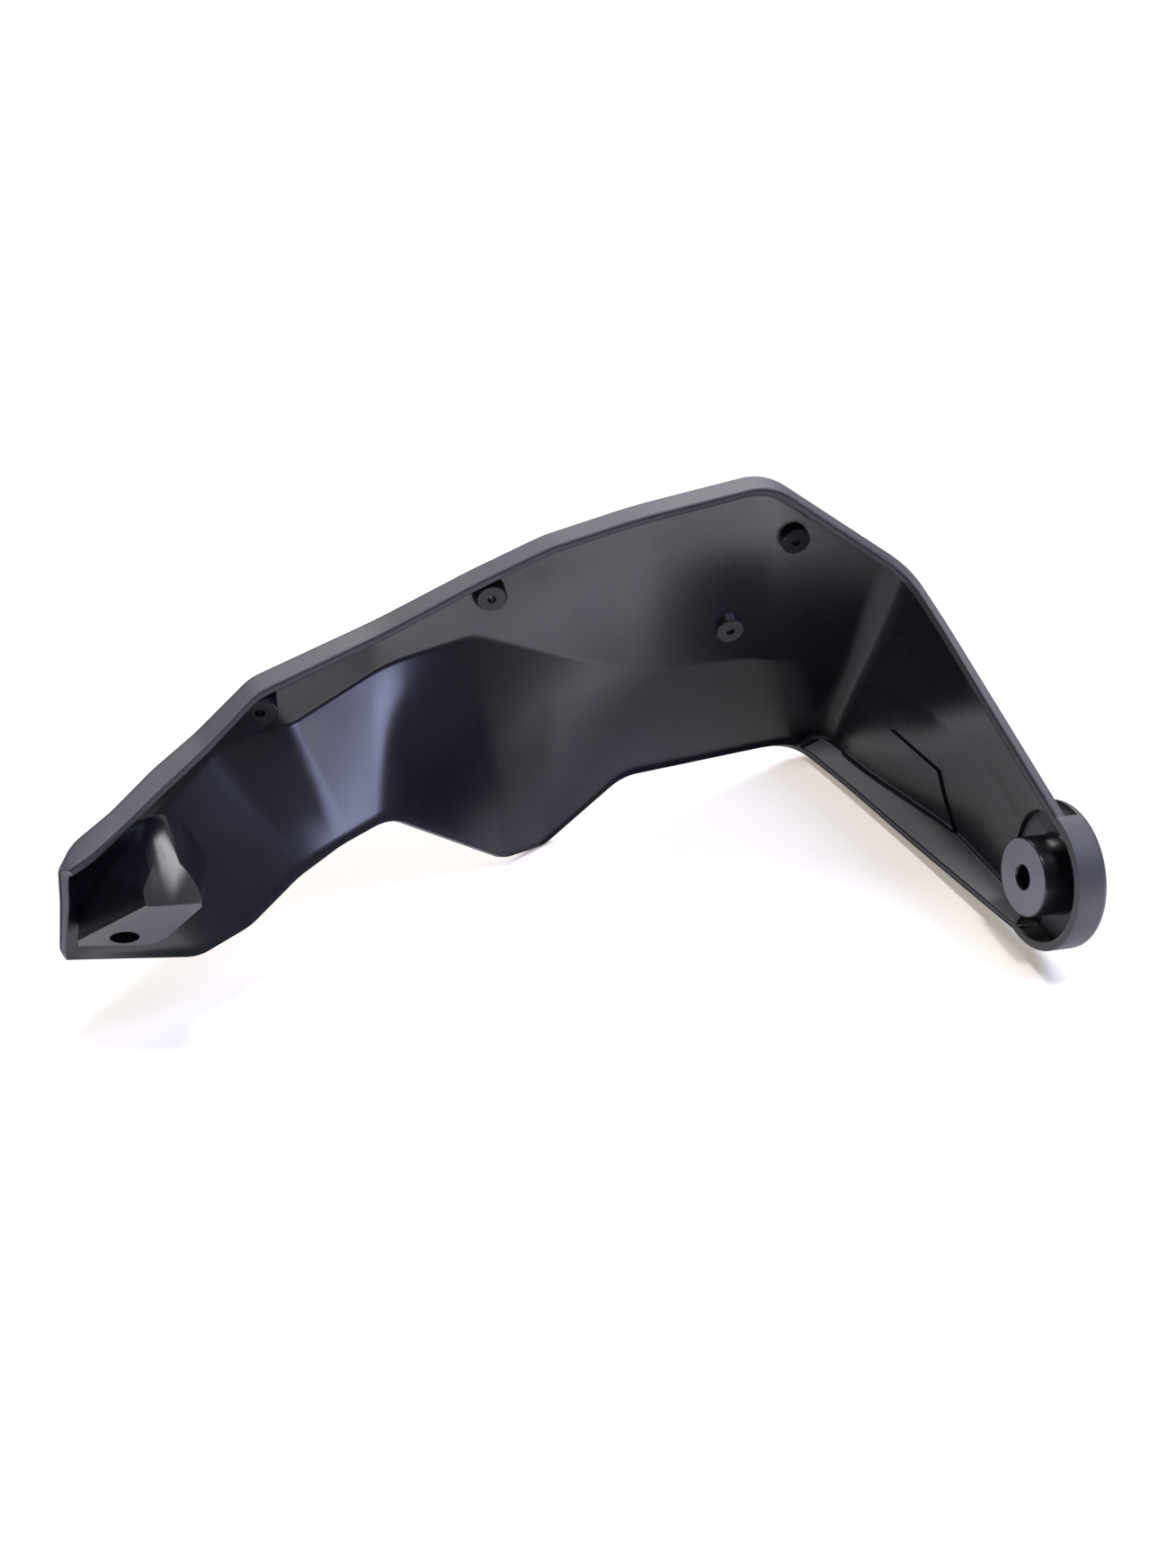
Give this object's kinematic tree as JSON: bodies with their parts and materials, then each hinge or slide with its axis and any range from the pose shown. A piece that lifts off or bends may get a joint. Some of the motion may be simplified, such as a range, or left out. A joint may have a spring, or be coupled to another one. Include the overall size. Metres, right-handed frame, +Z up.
{
  "type": "motorcycle hand guard",
  "caption": "Right-hand motorcycle hand guard: a double-curved moulded shield with an arm that ends in a bar-end cup and an inner tab.",
  "frame": {"origin": "middle of the face of the bar-end boss, where the guard is clamped against the end of the handlebar", "axes": "+X outward along the handlebar, +Y forward in the direction of travel, +Z up"},
  "size_m": [0.2602, 0.1452, 0.1075],
  "materials": {
    "shell": "satin moulded black"
  },
  "bodies": {
    "root": {"guard_shell": "shell"}
  },
  "joints": []
}
